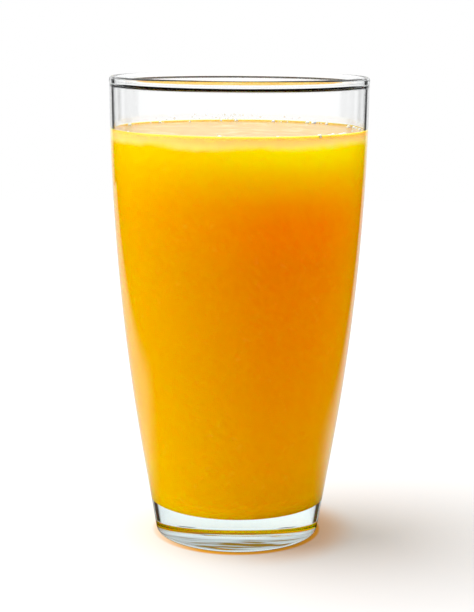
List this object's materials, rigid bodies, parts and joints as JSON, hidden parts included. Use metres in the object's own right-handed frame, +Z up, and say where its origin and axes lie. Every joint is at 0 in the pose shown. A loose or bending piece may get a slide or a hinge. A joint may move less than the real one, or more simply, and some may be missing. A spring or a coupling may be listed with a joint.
{
  "type": "glass of orange juice",
  "caption": "Tall clear tumbler with a flared wall, thick base and beaded rim, filled with cloudy orange juice.",
  "frame": {"origin": "middle of the flat ring under the foot, where the glass stands on the table", "axes": "+Z up along the glass's own axis, towards the rim; the glass is round, so X and Y are free"},
  "size_m": [0.0864, 0.0864, 0.156],
  "materials": {
    "clear_glass": "fire-polished, clear",
    "cloudy_juice": "cloudy liquid with a wet surface"
  },
  "bodies": {
    "root": {"tumbler": "clear_glass", "juice": "cloudy_juice"}
  },
  "joints": []
}
